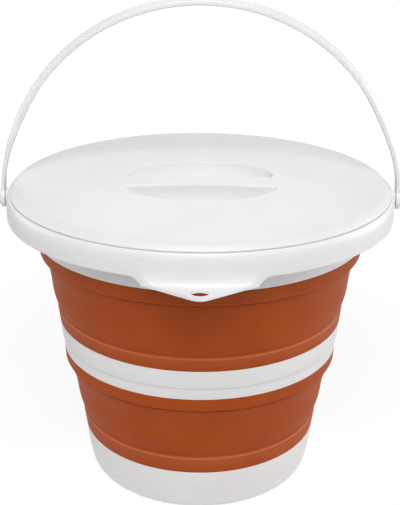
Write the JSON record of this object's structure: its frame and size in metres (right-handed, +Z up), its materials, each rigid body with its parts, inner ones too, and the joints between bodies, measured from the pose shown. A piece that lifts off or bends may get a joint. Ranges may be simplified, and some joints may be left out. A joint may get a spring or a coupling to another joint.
{
  "type": "collapsible bucket with lid",
  "caption": "Round collapsible bucket with soft folding walls between hard rings, a domed lid with finger pockets, a hanging tab and a swinging strap handle.",
  "frame": {"origin": "centre of the base's underside, on the bucket's axis", "axes": "+Z up the bucket's axis, +X along the handle's pivot line, -Y towards the hanging tab"},
  "size_m": [0.3286, 0.3337, 0.3974],
  "materials": {
    "white_plastic": "satin moulded plastic",
    "terracotta_silicone": "satin moulded silicone"
  },
  "bodies": {
    "base": {"base": "white_plastic", "lower_wall": "terracotta_silicone"},
    "middle_ring": {"middle_ring": "white_plastic", "upper_wall": "terracotta_silicone"},
    "rim": {"rim": "white_plastic", "handle_pin_left": "white_plastic", "handle_pin_right": "white_plastic"},
    "handle": {"handle": "white_plastic"},
    "lid": {"lid": "white_plastic"}
  },
  "joints": [
    {"name": "lower_collapse", "type": "slide", "parent": "base", "child": "middle_ring", "axis": [0, 0, -1], "range_m": [0, 0.098], "deforming": ["lower_wall"]},
    {"name": "upper_collapse", "type": "slide", "parent": "middle_ring", "child": "rim", "axis": [0, 0, -1], "range_m": [0, 0.095], "deforming": ["upper_wall"]},
    {"name": "handle_swing", "type": "hinge", "parent": "rim", "child": "handle", "pos_m": [0, 0, 0.236], "axis": [1, 0, 0], "range_deg": [-72, 72]},
    {"name": "lid_lift", "type": "slide", "parent": "rim", "child": "lid", "axis": [0, 0, 1], "range_m": [0, 0.0095]}
  ]
}
